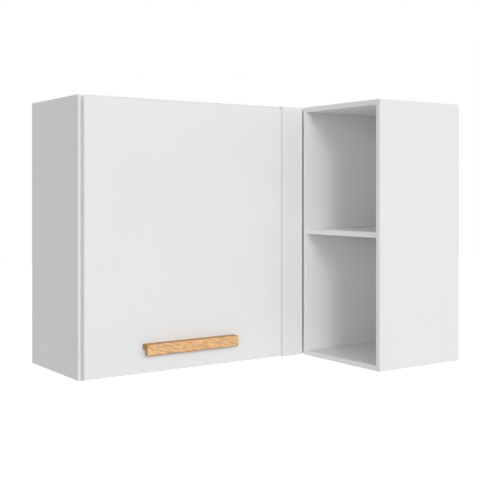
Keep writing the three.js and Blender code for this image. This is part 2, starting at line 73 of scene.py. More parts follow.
def addCamera(settings):
    data = bpy.data.cameras.new("cabinetCamera")
    data.lens = settings["lens"]
    data.shift_y = settings["shiftY"]
    data.clip_end = settings["clipEnd"]
    camera = bpy.data.objects.new("cabinetCamera", data)
    camera.location = settings["place"]
    camera.rotation_euler = (math.radians(90), 0, math.radians(settings["turn"]))
    bpy.context.scene.collection.objects.link(camera)
    bpy.context.scene.camera = camera


addCamera(cameraSettings)
print("camera set")

# small helpers for modelling


def clearSelection():
    if bpy.context.object and bpy.context.object.mode == "EDIT":
        bpy.ops.object.mode_set(mode="OBJECT")
    bpy.ops.object.select_all(action="DESELECT")


def makeActive(piece):
    clearSelection()
    piece.select_set(True)
    bpy.context.view_layer.objects.active = piece


def applyPlace(piece):
    makeActive(piece)
    bpy.ops.object.transform_apply(location=True, rotation=True, scale=True)


def applyModifier(piece, kind, name, **values):
    modifier = piece.modifiers.new(name, kind)
    for key, value in values.items():
        setattr(modifier, key, value)
    makeActive(piece)
    bpy.ops.object.modifier_apply(modifier=modifier.name)


def addBlock(name, low, high):
    clearSelection()
    low, high = Vector(low), Vector(high)
    bpy.ops.mesh.primitive_cube_add(size=1, location=(low + high) / 2)
    piece = bpy.context.object
    piece.name = name
    piece.scale = high - low
    applyPlace(piece)
    return piece


def addRound(name, axis, radius, start, end, centre, sides):
    # centre holds the two other coordinates, in axis order
    clearSelection()
    place = list(centre)
    place.insert("xyz".index(axis), (start + end) / 2)
    bpy.ops.mesh.primitive_cylinder_add(
        vertices=sides, radius=radius, depth=end - start, location=place, rotation=axisTurns[axis]
    )
    piece = bpy.context.object
    piece.name = name
    applyPlace(piece)
    return piece


def combine(piece, other, operation):
    applyModifier(piece, "BOOLEAN", "combine", object=other, operation=operation, solver="EXACT")
    bpy.data.objects.remove(other)


def cutAway(piece, cutters):
    for cutter in cutters:
        combine(piece, cutter, "DIFFERENCE")


def smoothByAngle(piece):
    # the flats stay flat, and only the rounded edges between them shade over
    makeActive(piece)
    bpy.ops.object.shade_smooth_by_angle(angle=edgeAngle)
    applyModifier(piece, "WEIGHTED_NORMAL", "flats", mode="FACE_AREA", weight=100, keep_sharp=True)


def softenEdges(piece, width, segments=2):
    applyModifier(
        piece, "BEVEL", "arris", width=width, segments=segments, limit_method="ANGLE",
        angle_limit=edgeAngle, use_clamp_overlap=True,
    )
    smoothByAngle(piece)


def readWay(way):
    # a way is a signed axis, such as "-y"
    return "xyz".index(way[1]), (1 if way[0] == "+" else -1)


def looksAlong(normal, *ways, share=0.9):
    return any(normal[index] * sign > share for index, sign in map(readWay, ways))


def looking(*ways, share=0.9):
    # a test for faces that look along one of the ways
    return lambda centre, normal: looksAlong(normal, *ways, share=share)


def clearOf(*ways):
    # a test for edges none of whose faces look along the ways
    return lambda middle, normals: not any(looksAlong(normal, *ways) for normal in normals)


def deselectMesh(piece, kind):
    makeActive(piece)
    bpy.ops.object.mode_set(mode="EDIT")
    bpy.ops.mesh.select_mode(type=kind)
    bpy.ops.mesh.select_all(action="DESELECT")
    bpy.ops.object.mode_set(mode="OBJECT")


def selectFaces(piece, test):
    # test gets each face's centre and normal; the piece is left in edit mode
    deselectMesh(piece, "FACE")
    for face in piece.data.polygons:
        face.select = test(face.center, face.normal)
    bpy.ops.object.mode_set(mode="EDIT")


def selectEdges(piece, test):
    # test gets each edge's middle and the normals of its faces; the piece is left in edit mode
    deselectMesh(piece, "EDGE")
    normals = {}
    for face in piece.data.polygons:
        for key in face.edge_keys:
            normals.setdefault(key, []).append(face.normal.copy())
    points = piece.data.vertices
    for edge in piece.data.edges:
        a, b = (points[i].co for i in edge.vertices)
        edge.select = test((a + b) / 2, normals.get(edge.key, []))
    bpy.ops.object.mode_set(mode="EDIT")


def leaveEdit():
    bpy.ops.object.mode_set(mode="OBJECT")


def bevelSelected(width, segments, profile=0.5):
    bpy.ops.mesh.bevel(offset=width, segments=segments, profile=profile, affect="EDGES")
    leaveEdit()


def paintFaces(piece, material, test):
    if material.name not in piece.data.materials:
        piece.data.materials.append(material)
    index = piece.data.materials.find(material.name)
    for face in piece.data.polygons:
        if test(face.center, face.normal):
            face.material_index = index


def settle(piece, body, node):
    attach(piece, body)
    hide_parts(node)


def placeCopy(pattern, name, place, turn=(0, 0, 0)):
    # the copy has its own mesh, and its place goes into that mesh
    twin = pattern.copy()
    twin.data = pattern.data.copy()
    twin.name = name
    twin.data.name = name
    bpy.context.scene.collection.objects.link(twin)
    twin.location = place
    twin.rotation_euler = turn
    applyPlace(twin)
    return twin


def boxCentre(node):
    low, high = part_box(node)
    return (low + high) / 2


# materials

noiseBand = (0.3, 0.7)     # nearly all of a noise texture's values lie between these


class Look:
    # a material under construction, with short ways to add and join its nodes

    def __init__(self, name):
        self.material = bpy.data.materials.new(name)
        self.material.use_nodes = True
        self.nodes = self.material.node_tree.nodes
        self.links = self.material.node_tree.links
        self.shader = self.nodes["Principled BSDF"]

    def add(self, kind, **values):
        node = self.nodes.new(kind)
        for key, value in values.items():
            if key in node.inputs:
                node.inputs[key].default_value = value
            else:
                setattr(node, key, value)
        return node

    def join(self, source, output, target, entry):
        self.links.new(source.outputs[output], target.inputs[entry])

    def give(self, entry, value):
        self.shader.inputs[entry].default_value = value

    def coordinates(self, scale=(1, 1, 1), turn=(0, 0, 0)):
        # the pattern is turned first, and then drawn finer along its own axes by scale
        place = self.add("ShaderNodeTexCoord")
        turned = self.add("ShaderNodeMapping", Rotation=turn)
        mapping = self.add("ShaderNodeMapping", Scale=scale)
        self.join(place, "Object", turned, "Vector")
        self.join(turned, "Vector", mapping, "Vector")
        return mapping

    def noise(self, mapping, scale, detail=3, roughness=0.5, distortion=0):
        node = self.add(
            "ShaderNodeTexNoise", Scale=scale, Detail=detail, Roughness=roughness, Distortion=distortion
        )
        self.join(mapping, "Vector", node, "Vector")
        return node

    def ramp(self, source, stops, output="Fac"):
        node = self.add("ShaderNodeValToRGB")
        elements = node.color_ramp.elements
        while len(elements) < len(stops):
            elements.new(0.5)
        for element, (position, colour) in zip(elements, stops):
            element.position = position
            element.color = (*colour, 1)
        self.join(source, output, node, "Fac")
        return node

    def fade(self, source, first, second, band=noiseBand):
        return self.ramp(source, [(band[0], first), (band[1], second)])

    def remap(self, source, low, high, band=noiseBand):
        limits = {"From Min": band[0], "From Max": band[1], "To Min": low, "To Max": high}
        node = self.add("ShaderNodeMapRange", **limits)
        self.join(source, "Fac", node, "Value")
        return node

    def mix(self, under, over, blend):
        # the node's colour inputs are 6 and 7, and its colour output is 2
        node = self.add("ShaderNodeMix", data_type="RGBA", blend_type=blend)
        self.links.new(under, node.inputs[6])
        self.links.new(over, node.inputs[7])
        return node

    def bump(self, source, strength, distance, output="Fac", before=None):
        node = self.add("ShaderNodeBump", Strength=strength, Distance=distance)
        self.join(source, output, node, "Height")
        if before:
            self.join(before, "Normal", node, "Normal")
        self.join(node, "Normal", self.shader, "Normal")
        return node


def grey(value):
    return (value, value * 1.002, value * 1.006)     # a trace of blue


def timesColour(colour, factors):
    return tuple(c * f for c, f in zip(colour, factors))


whiteSettings = {
    "tone": 0.89, "toneSpread": 0.008, "cloudScale": 5,
    "roughness": (0.44, 0.54), "handlingScale": 22, "gloss": 0.28,
    "pearlScale": 900, "pearlBump": 0.05, "pearlDepth": 0.4 * mm,
}
edgingSettings = {
    **whiteSettings, "roughness": (0.34, 0.42), "pearlBump": 0.02,
    "boxPaintedShadeTone": 0.97, "wingPaintedLightTone": 1.05,     # against the faces of the boards; the box's edging is darkened as painted shade and the wing's brightened as painted light
}


def whiteLaminate(name, settings, toneFactor=1.0):
    look = Look(name)
    place = look.coordinates()
    tone, spread = settings["tone"] * toneFactor, settings["toneSpread"]
    cloud = look.noise(place, settings["cloudScale"], detail=4)
    colour = look.fade(cloud, grey(tone - spread), grey(tone + spread))
    look.join(colour, "Color", look.shader, "Base Color")
    handling = look.noise(place, settings["handlingScale"], detail=5)
    sheen = look.remap(handling, *settings["roughness"])
    look.join(sheen, "Result", look.shader, "Roughness")
    look.give("Specular IOR Level", settings["gloss"])
    pearl = look.noise(place, settings["pearlScale"], detail=2)
    look.bump(pearl, settings["pearlBump"], settings["pearlDepth"])
    return look.material


chipSettings = {
    "palest": (0.682, 0.506, 0.308), "pale": (0.62, 0.46, 0.28),
    "middle": (0.50, 0.35, 0.20), "dark": (0.30, 0.19, 0.10),
    "stretch": (0.55, 1, 1), "chipScale": 330, "dustScale": 1500, "cloudScale": 14,
    "chipShare": (0.25, 0.6),      # of coarse chips in the fine dust, which changes from patch to patch
    "chipBump": (0.35, 0.5 * mm), "dustBump": (0.3, 0.2 * mm),
    "roughness": 0.9,
}


def rawChipboard(name, settings):
    look = Look(name)
    place = look.coordinates(scale=settings["stretch"])
    palest, pale, middle, dark = (settings[shade] for shade in ("palest", "pale", "middle", "dark"))
    chips = look.add("ShaderNodeTexVoronoi", Scale=settings["chipScale"], Randomness=1)
    look.join(place, "Vector", chips, "Vector")
    draw = look.add("ShaderNodeSeparateColor")
    look.join(chips, "Color", draw, "Color")
    chipStops = [(0.0, dark), (0.12, middle), (0.55, pale), (0.9, palest), (1.0, middle)]
    chipTone = look.ramp(draw, chipStops, output="Red")
    dust = look.noise(place, settings["dustScale"], detail=2)
    dustTone = look.fade(dust, middle, pale, band=(0.35, 0.6))
    cloud = look.noise(place, settings["cloudScale"])
    share = look.remap(cloud, *settings["chipShare"], band=(0.35, 0.65))
    mix = look.mix(dustTone.outputs["Color"], chipTone.outputs["Color"], "MIX")
    look.join(share, "Result", mix, "Factor")
    look.join(mix, 2, look.shader, "Base Color")
    look.give("Roughness", settings["roughness"])
    grit = look.bump(chips, *settings["chipBump"], output="Distance")
    look.bump(dust, *settings["dustBump"], before=grit)
    return look.material


hardboardSettings = {
    "pale": (0.36, 0.22, 0.12), "dark": (0.25, 0.15, 0.08), "stretch": (1, 1, 0.35),
    "fibreScale": 420, "fibreBump": (0.3, 0.3 * mm), "roughness": 0.8,
}


def rawHardboard(name, settings):
    look = Look(name)
    place = look.coordinates(scale=settings["stretch"])
    fibres = look.noise(place, settings["fibreScale"], detail=6, roughness=0.7)
    colour = look.fade(fibres, settings["dark"], settings["pale"])
    look.join(colour, "Color", look.shader, "Base Color")
    look.give("Roughness", settings["roughness"])
    look.bump(fibres, *settings["fibreBump"])
    return look.material


oakSettings = {
    "pale": (0.97, 0.62, 0.35), "middle": (0.88, 0.53, 0.28), "dark": (0.70, 0.38, 0.18),
    "grainFall": 17,       # degrees that the streaks fall towards the right along the handle
    "streakScale": 50, "streakThin": (1, 4, 7.5), "poreScale": 170, "poreThin": (1, 10, 18),
    "red": (1.0, 0.93, 0.93), "yellow": (0.98, 1.0, 0.88),      # how the tone drifts along the streaks
    "pore": (0.70, 0.62, 0.52), "poreWeight": 0.6, "poreBump": (0.35, 0.3 * mm),
    "roughness": (0.66, 0.48),     # from the pores to the wood between them
    # shade against the face grain, and gloss; the top's darker shade is painted shade, and the end's darker
    # end grain also paints shade on the underside
    "face": ((1, 1, 1), 0.3), "top": ((0.68, 0.63, 0.50), 0.2), "end": ((0.50, 0.45, 0.30), 0.12),
}


def oakGrain(name, settings, side):
    look = Look(name)
    shade, gloss = settings[side]
    dark, middle, pale = (timesColour(settings[tint], shade) for tint in ("dark", "middle", "pale"))
    turn = (0, math.radians(-settings["grainFall"]), 0)
    along = look.coordinates(scale=settings["streakThin"], turn=turn)
    streaks = look.noise(along, settings["streakScale"], roughness=0.55, distortion=0.25)
    colour = look.ramp(streaks, [(0.38, dark), (0.48, middle), (0.58, pale)])
    broad = look.noise(along, settings["streakScale"] / 3, detail=2)
    drift = look.fade(broad, settings["red"], settings["yellow"], band=(0.38, 0.62))
    poreMap = look.coordinates(scale=settings["poreThin"], turn=turn)
    pores = look.noise(poreMap, settings["poreScale"], detail=2, roughness=0.7)
    poreTone = look.fade(pores, settings["pore"], (1, 1, 1), band=(0.36, 0.46))
    body = colour.outputs["Color"]
    for layer, weight in ((drift, 1), (poreTone, settings["poreWeight"])):
        mix = look.mix(body, layer.outputs["Color"], "MULTIPLY")
        mix.inputs["Factor"].default_value = weight
        body = mix.outputs[2]
    look.links.new(body, look.shader.inputs["Base Color"])
    look.give("Specular IOR Level", gloss)
    sheen = look.remap(pores, *settings["roughness"], band=(0.35, 0.6))
    look.join(sheen, "Result", look.shader, "Roughness")
    look.bump(pores, *settings["poreBump"])
    return look.material


steelSettings = {
    "tone": (0.58, 0.59, 0.61), "dull": (0.86, 0.86, 0.86), "patchScale": 60, "roughness": (0.24, 0.42),
    "stretch": (1, 1, 6), "brushScale": 500, "brushBump": (0.12, 0.1 * mm),
}
nickelSettings = {**steelSettings, "tone": (0.70, 0.69, 0.67), "roughness": (0.18, 0.3)}


def platedSteel(name, settings):
    look = Look(name)
    place = look.coordinates(scale=settings["stretch"])
    brushing = look.noise(place, settings["brushScale"])
    patches = look.noise(place, settings["patchScale"], detail=4)
    sheen = look.remap(patches, *settings["roughness"])
    look.join(sheen, "Result", look.shader, "Roughness")
    colour = look.fade(patches, timesColour(settings["tone"], settings["dull"]), settings["tone"])
    look.join(colour, "Color", look.shader, "Base Color")
    look.give("Metallic", 1)
    look.bump(brushing, *settings["brushBump"])
    return look.material


beechSettings = {
    "pale": (0.66, 0.46, 0.27), "dark": (0.48, 0.3, 0.16), "stretch": (1, 0.2, 1),
    "grainScale": 700, "grainBump": (0.2, 0.2 * mm), "roughness": 0.75,
}


def beechDowel(name, settings):
    look = Look(name)
    place = look.coordinates(scale=settings["stretch"])
    grain = look.noise(place, settings["grainScale"], detail=4)
    colour = look.fade(grain, settings["dark"], settings["pale"], band=(0.35, 0.65))
    look.join(colour, "Color", look.shader, "Base Color")
    look.give("Roughness", settings["roughness"])
    look.bump(grain, *settings["grainBump"])
    return look.material


padSettings = {
    "pale": (0.78, 0.79, 0.79), "dark": (0.66, 0.67, 0.67), "hazeScale": 300, "roughness": 0.3,
    "milk": 0.3, "milkReach": (0.002, 0.002, 0.002), "milkScale": 0.5,
}


def milkyPad(name, settings):
    look = Look(name)
    haze = look.noise(look.coordinates(), settings["hazeScale"])
    colour = look.fade(haze, settings["dark"], settings["pale"])
    look.join(colour, "Color", look.shader, "Base Color")
    look.give("Roughness", settings["roughness"])
    look.give("Subsurface Weight", settings["milk"])
    look.give("Subsurface Radius", settings["milkReach"])
    look.give("Subsurface Scale", settings["milkScale"])
    return look.material


laminate = whiteLaminate("whiteLaminate", whiteSettings)
# one edging in two tones: a shaded copy for the box and a lit copy for the wing
boxEdgingPaintedShade = whiteLaminate("boxEdgingPaintedShade", edgingSettings, edgingSettings["boxPaintedShadeTone"])
wingEdgingPaintedLight = whiteLaminate("wingEdgingPaintedLight", edgingSettings, edgingSettings["wingPaintedLightTone"])
chipboard = rawChipboard("rawChipboard", chipSettings)
hardboard = rawHardboard("rawHardboard", hardboardSettings)
oakFace = oakGrain("oakFace", oakSettings, "face")
# a darker copy of the oak for the handle's top, painted shade
oakTopPaintedShade = oakGrain("oakTopPaintedShade", oakSettings, "top")
# the darker end grain, which also paints shade on the handle's underside
oakEndAndUnderShade = oakGrain("oakEndAndUnderShade", oakSettings, "end")
steel = platedSteel("platedSteel", steelSettings)
nickel = platedSteel("nickelSteel", nickelSettings)
beech = beechDowel("beechDowel", beechSettings)
padding = milkyPad("milkyPad", padSettings)
print("finishes made")

# boards

boardSettings = {
    "arris": 0.4 * mm,
    "bandThickness": 1.0 * mm,   # edging on every edge that shows
    "fit": 0.3 * mm,             # room round what a hole or groove holds
    "grooveOverrun": 20 * mm,    # how far a groove's cutter runs on past the back's ends
    # radii of holes
    "screwBore": 2.3 * mm, "smallScrewBore": 1.8 * mm, "dowelBore": 4.3 * mm, "wallHole": 3 * mm,
    "wallHoleInset": 90 * mm,    # from the ends of the main rail
    "pegRadius": 2.5 * mm,
    "pegPitch": 32 * mm,
    "spareHoles": 2,             # above and below each peg
}
hinges = ("lower", "upper")
wingScrews = [f"wing_screw_{number}" for number in range(1, 5)]
wingDowels = [f"wing_dowel_{number}" for number in range(1, 5)]
fillerScrews = ["filler_screw_1", "filler_screw_2"]
handleScrews = ["handle_screw_left", "handle_screw_right"]
plateScrews = [f"hinge_{hinge}_plate_screw_{end}" for hinge in hinges for end in ("low", "high")]
cupScrews = [f"hinge_{hinge}_cup_screw_{end}" for hinge in hinges for end in ("low", "high")]
armScrews = [f"hinge_{hinge}_arm_screw" for hinge in hinges]


def grooveCutter(panel, run):
    # the back panel's own box, with its fit, running out past the board's ends
    low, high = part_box(panel)
    grow = Vector((1, 1, 1)) * boardSettings["fit"] + axes[run] * boardSettings["grooveOverrun"]
    return addBlock("grooveCutter", low - grow, high + grow)


def boreCutters(nodes, axis, kind):
    # round holes on the middle lines of fasteners
    cutters = []
    fit = boardSettings["fit"]
    index = "xyz".index(axis)
    for node in nodes:
        low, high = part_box(node)
        across = [(low + high)[i] / 2 for i in range(3) if i != index]
        cutters.append(addRound(
            "boreCutter", axis, boardSettings[kind], low[index] - fit, high[index] + fit, across, sides=32,
        ))
    return cutters


def cupCutters():
    cutters = []
    fit = boardSettings["fit"]
    for hinge in hinges:
        low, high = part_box(f"hinge_{hinge}_cup")
        centre = ((low.x + high.x) / 2, (low.z + high.z) / 2)
        radius = (high.x - low.x) / 2 + fit
        cutters.append(addRound("cupCutter", "y", radius, low.y - fit, high.y, centre, sides=64))
        cutters += boreCutters([name for name in cupScrews if hinge in name], "y", "smallScrewBore")
    return cutters


def pegCutters(side):
    # each peg's own hole, with spare ones above and below it
    cutters = []
    radius, fit, spare = (boardSettings[key] for key in ("pegRadius", "fit", "spareHoles"))
    for place in ("front", "back"):
        low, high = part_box(f"shelf_peg_{side}_{place}")
        for step in range(-spare, spare + 1):
            z = high.z - radius + step * boardSettings["pegPitch"]
            centre = ((low.y + high.y) / 2, z)
            cutters.append(addRound("pegCutter", "x", radius + fit, low.x - fit, high.x, centre, sides=32))
    return cutters


def wallHoleCutters(board):
    # the main rail has a hole near each end, and the wing's rail has one at its middle
    low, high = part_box(board)
    inset, fit = boardSettings["wallHoleInset"], boardSettings["fit"]
    if board.startswith("main"):
        axis, index = "y", 1
        railLow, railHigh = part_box("main_top_rail")
        places = [railLow.x + inset, railHigh.x - inset]
    else:
        axis, index = "x", 0
        railLow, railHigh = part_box("wing_top_rail")
        places = [(railLow.y + railHigh.y) / 2]
    z = (railLow.z + railHigh.z) / 2
    radius, start, end = boardSettings["wallHole"], low[index] - fit, high[index] + fit
    return [addRound("wallHole", axis, radius, start, end, (place, z), sides=32) for place in places]


def onBand(centre, low, high, bands):
    depth = boardSettings["bandThickness"] + near
    for index, sign in map(readWay, bands):
        gap = high[index] - centre[index] if sign > 0 else centre[index] - low[index]
        if gap < depth:
            return True
    return False


def buildBoard(name, bands, cutters, body="cabinet"):
    # bands are the sides with edging, the front first
    settings = boardSettings
    low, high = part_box(name)
    piece = addBlock(name + "_board", low, high)
    wide = min("xyz", key=lambda letter: (high - low)["xyz".index(letter)])    # the axis across the board
    faces = ["+" + wide, "-" + wide]
    butted = [sign + letter for letter in "xyz" for sign in "+-" if sign + letter not in [*bands, *faces]]
    # an edge stays sharp at a butt joint, and is rounded where edging meets a face or more edging
    selectEdges(piece, clearOf(*butted))
    bevelSelected(settings["arris"], segments=3)
    makeActive(piece)
    bpy.ops.object.mode_set(mode="EDIT")
    for band in bands:
        bpy.ops.mesh.select_all(action="SELECT")
        index, sign = readWay(band)
        edge = high[index] if sign > 0 else low[index]
        plane = axes[band[1]] * (edge - sign * settings["bandThickness"])
        bpy.ops.mesh.bisect(plane_co=plane, plane_no=axes[band[1]] * sign)
    leaveEdit()
    cutAway(piece, cutters)
    smoothByAngle(piece)
    piece.data.materials.append(laminate)
    paintFaces(piece, chipboard, lambda c, n: not looksAlong(n, *faces))
    # the box's edging carries painted shade, and the wing's painted light
    edging = wingEdgingPaintedLight if name.startswith("wing") else boxEdgingPaintedShade
    paintFaces(piece, edging, lambda c, n: onBand(c, low, high, bands))
    settle(piece, body, name)


def buildBoards():
    ends = ["+z", "-z"]
    buildBoard("main_left_side", ["-y", *ends], [
        grooveCutter("main_back", "z"),
        *boreCutters(plateScrews, "x", "smallScrewBore"),
        *pegCutters("left"),
    ])
    buildBoard("main_right_side", ["-y", *ends], [grooveCutter("main_back", "z"), *pegCutters("right")])
    buildBoard("main_top", ["-y"], [grooveCutter("main_back", "x")])
    buildBoard("main_bottom", ["-y"], [grooveCutter("main_back", "x")])
    buildBoard("main_shelf", ["-y"], [])
    buildBoard("blind_front", ["-x"], boreCutters(wingScrews + fillerScrews, "y", "screwBore"))
    buildBoard("filler_strip", ["-x", "+x", *ends], boreCutters(fillerScrews, "y", "screwBore"))
    buildBoard("wing_far_side", ["-x", *ends], [
        grooveCutter("wing_back", "z"),
        *boreCutters(wingScrews, "y", "screwBore"),
        *boreCutters(wingDowels, "y", "dowelBore"),
    ])
    buildBoard("wing_end_panel", ["-x", *ends], [
        grooveCutter("wing_back", "z"),
        *boreCutters(wingDowels, "y", "dowelBore"),
    ])
    buildBoard("wing_top", ["-x"], [grooveCutter("wing_back", "y")])
    buildBoard("wing_bottom", ["-x"], [grooveCutter("wing_back", "y")])
    buildBoard("wing_shelf", ["-x"], boreCutters(wingDowels, "y", "dowelBore"))
    buildBoard("door_panel", ["-x", "+x", *ends], [
        *cupCutters(),
        *boreCutters(handleScrews, "y", "screwBore"),
    ], body="door")


buildBoards()
print("boards made")

# rails, battens and backs

railSettings = {"arris": 0.5 * mm}
backSettings = {"arris": 0.2 * mm}


def buildRails():
    for name in ("main_top_rail", "main_bottom_rail", "wing_top_rail", "wing_bottom_rail"):
        piece = addBlock(name + "_strip", *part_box(name))
        if "top" in name:
            cutAway(piece, wallHoleCutters(name))
        softenEdges(piece, railSettings["arris"])
        piece.data.materials.append(chipboard)
        settle(piece, "cabinet", name)


def buildBattens():
    # they are ripped from a white board, whose faces and banded edge they keep
    for name in ("wing_batten_front", "wing_batten_back"):
        piece = addBlock(name + "_strip", *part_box(name))
        cutAway(piece, boreCutters(wingScrews, "y", "screwBore"))
        softenEdges(piece, railSettings["arris"])
        piece.data.materials.append(chipboard)
        paintFaces(piece, laminate, looking("+y", "-y"))
        # the banded edge takes the wing's edging, with its painted light
        paintFaces(piece, wingEdgingPaintedLight, looking("-x"))
        settle(piece, "cabinet", name)


def buildBacks():
    # white towards the inside, and bare behind
    for name, inside in (("main_back", "-y"), ("wing_back", "-x")):
        piece = addBlock(name + "_panel", *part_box(name))
        cutAway(piece, wallHoleCutters(name))
        softenEdges(piece, backSettings["arris"])
        piece.data.materials.append(hardboard)
        paintFaces(piece, laminate, looking(inside))
        settle(piece, "cabinet", name)


buildRails()
buildBattens()
buildBacks()
print("rails and backs made")

# handle

handleSettings = {
    "flange": 13 * mm,      # the height of the part that lies on the door
    "lip": 9 * mm,          # the depth of the part that hangs down in front of the fingers
    "fillet": 6 * mm, "arris": 1.0 * mm, "lowerRound": 2.4 * mm,
    # a face whose normal has this share of up is darkened as painted shade, one with this share along the
    # ends shows the darker end grain, and one with this share of down takes the end grain's tone as painted
    # shade
    "topShadeShare": 0.6, "endShare": 0.6, "underShadeShare": 0.2,
}


def buildHandle():
    size = handleSettings
    low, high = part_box("door_handle")
    piece = addBlock("door_handle_oak", low, high)
    # the finger gap is cut out from behind, with a round inner corner
    gap = addBlock(
        "fingerGap",
        (low.x - past, low.y + size["lip"], low.z - past),
        (high.x + past, high.y + past, high.z - size["flange"]),
    )
    selectEdges(gap, clearOf("+x", "-x", "+y", "-z"))
    bevelSelected(size["fillet"], segments=10)
    cutAway(piece, [gap, *boreCutters(handleScrews, "y", "screwBore")])
    selectEdges(piece, lambda c, n: abs(c.y - low.y) < near and abs(c.z - low.z) < near)
    bevelSelected(size["lowerRound"], segments=6)
    softenEdges(piece, size["arris"], segments=4)
    piece.data.materials.append(oakFace)
    # the top takes the darker copy, painted shade
    paintFaces(piece, oakTopPaintedShade, looking("+z", share=size["topShadeShare"]))
    paintFaces(piece, oakEndAndUnderShade, looking("+x", "-x", share=size["endShare"]))
    # the underside and the lower round take the dark end-grain tone as painted shade, a dark line under the
    # lip
    paintFaces(piece, oakEndAndUnderShade, looking("-z", share=size["underShadeShare"]))
    settle(piece, "door", "door_handle")


buildHandle()
print("handle made")

# screws

screwSettings = {
    "panel": {"head": 4.0 * mm, "height": 2.2 * mm, "shank": 2.0 * mm, "cross": 4.2 * mm, "deep": 1.3 * mm},
    "hinge": {"head": 2.8 * mm, "height": 1.6 * mm, "shank": 1.5 * mm, "cross": 3.0 * mm, "deep": 1.0 * mm},
    "crown": 0.55,          # of the head's height is rounded over
    "crossWidth": 0.22,     # of the cross's length
    "point": 0.25,          # of the shank's width is left at the tip
}


def modelScrew(kind, length):
    # stands on the plane z = 0, head up and shank down
    size = screwSettings[kind]
    head = addRound("screwPattern", "z", size["head"], 0, size["height"], (0, 0), sides=40)
    selectFaces(head, looking("+z"))
    bevelSelected(size["height"] * screwSettings["crown"], segments=5, profile=0.55)
    shank = addRound("shank", "z", size["shank"], -length, size["height"] / 2, (0, 0), sides=24)
    selectFaces(shank, looking("-z"))
    point = screwSettings["point"]
    bpy.ops.transform.resize(value=(point, point, 1), center_override=(0, 0, -length))
    leaveEdit()
    combine(head, shank, "UNION")
    half, thin = size["cross"] / 2, screwSettings["crossWidth"]
    for wide, deep in ((1, thin), (thin, 1)):
        low = (-half * wide, -half * deep, size["height"] - size["deep"])
        high = (half * wide, half * deep, size["height"] + past)
        combine(head, addBlock("crossSlot", low, high), "DIFFERENCE")
    smoothByAngle(head)
    head.data.materials.append(steel)
    return head


def buildScrews(kind, nodes, axis, body):
    # every head lies at the far side of its node's box along the axis
    index = "xyz".index(axis)
    height = screwSettings[kind]["height"]
    low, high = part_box(nodes[0])
    pattern = modelScrew(kind, high[index] - low[index] - height)
    for node in nodes:
        place = boxCentre(node)
        place[index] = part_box(node)[1][index] - height
        screw = placeCopy(pattern, node + "_dressed", place, axisTurns[axis])
        settle(screw, body, node)
    bpy.data.objects.remove(pattern)


buildScrews("panel", wingScrews, "y", "cabinet")
buildScrews("panel", fillerScrews, "y", "cabinet")
buildScrews("panel", handleScrews, "y", "door")
buildScrews("hinge", plateScrews, "x", "cabinet")
buildScrews("hinge", armScrews, "x", "cabinet")
buildScrews("hinge", cupScrews, "y", "door")
print("screws made")

# hinges

hingeSettings = {
    "cupRadius": 17.5 * mm, "cupFloor": -3.0 * mm, "cupRound": 1.2 * mm,
    "cupOffset": 14.3 * mm,         # from the pin to the middle of the cup
    "flangeSeat": 9.5 * mm, "flangeTop": 10.5 * mm,
    "flangeHalfWidth": 10 * mm, "flangeHalfLength": 27 * mm, "flangeCorner": 8 * mm,
    "dishRadius": 14.5 * mm, "dishDepth": 0.5 * mm,
    "pocket": (-2.2 * mm, 16.8 * mm, 3.8 * mm),     # from and to along X, and half the width
    "pocketCorner": 1.5 * mm,
    "pinHole": 1.3 * mm, "screwHole": 1.8 * mm, "cupScrewHalf": 22 * mm,
    "armWidth": 7 * mm, "armThickness": 1.6 * mm, "armReach": 13.3 * mm, "armNeck": 20 * mm,
    "armSlope": 14 * mm, "armFoot": 38 * mm, "armBend": 1.6 * mm, "knuckle": 1.9 * mm,
    "plateHalfWidth": 5 * mm, "plateCorner": 0.8 * mm, "armBoreDepth": 4.3 * mm,
    "ear": 2 * mm, "earHalfLength": 24 * mm, "earHalfWidth": 8 * mm, "earCorner": 6 * mm,
    "earScrewHalf": 16 * mm,
    "pinRound": 0.3 * mm,
    "arris": 0.25 * mm,
}


def hingeBore(axis, radius, start, end, centre=(0, 0)):
    return addRound("hingeBore", axis, radius, start, end, centre, sides=24)


def modelCup():
    # each piece of a hinge is modelled from the middle of the pin
    size = hingeSettings
    middle, top = size["cupOffset"], size["flangeTop"]
    cup = addRound("cupPattern", "y", size["cupRadius"], size["cupFloor"], top, (middle, 0), sides=64)
    selectFaces(cup, looking("-y"))
    bevelSelected(size["cupRound"], segments=4)
    flange = addBlock(
        "cupFlange",
        (middle - size["flangeHalfWidth"], size["flangeSeat"], -size["flangeHalfLength"]),
        (middle + size["flangeHalfWidth"], top, size["flangeHalfLength"]),
    )
    selectEdges(flange, clearOf("+y", "-y"))
    bevelSelected(size["flangeCorner"], segments=10)
    selectFaces(flange, looking("+y"))
    bevelSelected(size["arris"], segments=2)
    combine(cup, flange, "UNION")
    floor = top - size["dishDepth"]
    dish = addRound("cupDish", "y", size["dishRadius"], floor, top + past, (middle, 0), sides=64)
    start, end, half = size["pocket"]
    pocket = addBlock("cupPocket", (start, start, -half), (end, top + past, half))
    selectEdges(pocket, clearOf("+y", "-y"))
    bevelSelected(size["pocketCorner"], segments=4)
    pinBore = hingeBore("z", size["pinHole"], -size["cupRadius"], size["cupRadius"])
    cutAway(cup, [dish, pocket, pinBore])
    for z in (-size["cupScrewHalf"], size["cupScrewHalf"]):
        bore = hingeBore("y", size["screwHole"], size["flangeSeat"] - past, top + past, (middle, z))
        cutAway(cup, [bore])
    smoothByAngle(cup)
    cup.data.materials.append(nickel)
    return cup


